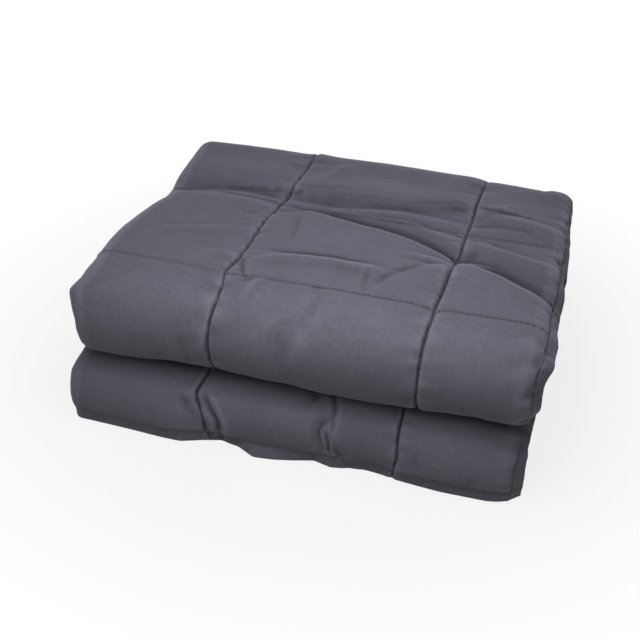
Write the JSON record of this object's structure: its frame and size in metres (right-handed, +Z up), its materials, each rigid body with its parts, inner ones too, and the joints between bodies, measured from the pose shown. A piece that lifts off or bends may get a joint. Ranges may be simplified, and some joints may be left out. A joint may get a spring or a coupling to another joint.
{
  "type": "folded weighted blanket",
  "caption": "Filled and quilted weighted blanket, folded across its width and along its length into a low stack with two rolls at the front.",
  "frame": {"origin": "on the surface it rests on, under the middle of the folded bundle's bounding box", "axes": "+X to the right along the front rolls, +Y from the front rolls to the back fold, +Z up"},
  "size_m": [0.3064, 0.2368, 0.1097],
  "materials": {
    "cloth": "smooth tightly woven charcoal cloth with a slight sheen, quilted over a fine heavy filling"
  },
  "bodies": {
    "root": {"blanket": "cloth"}
  },
  "joints": []
}
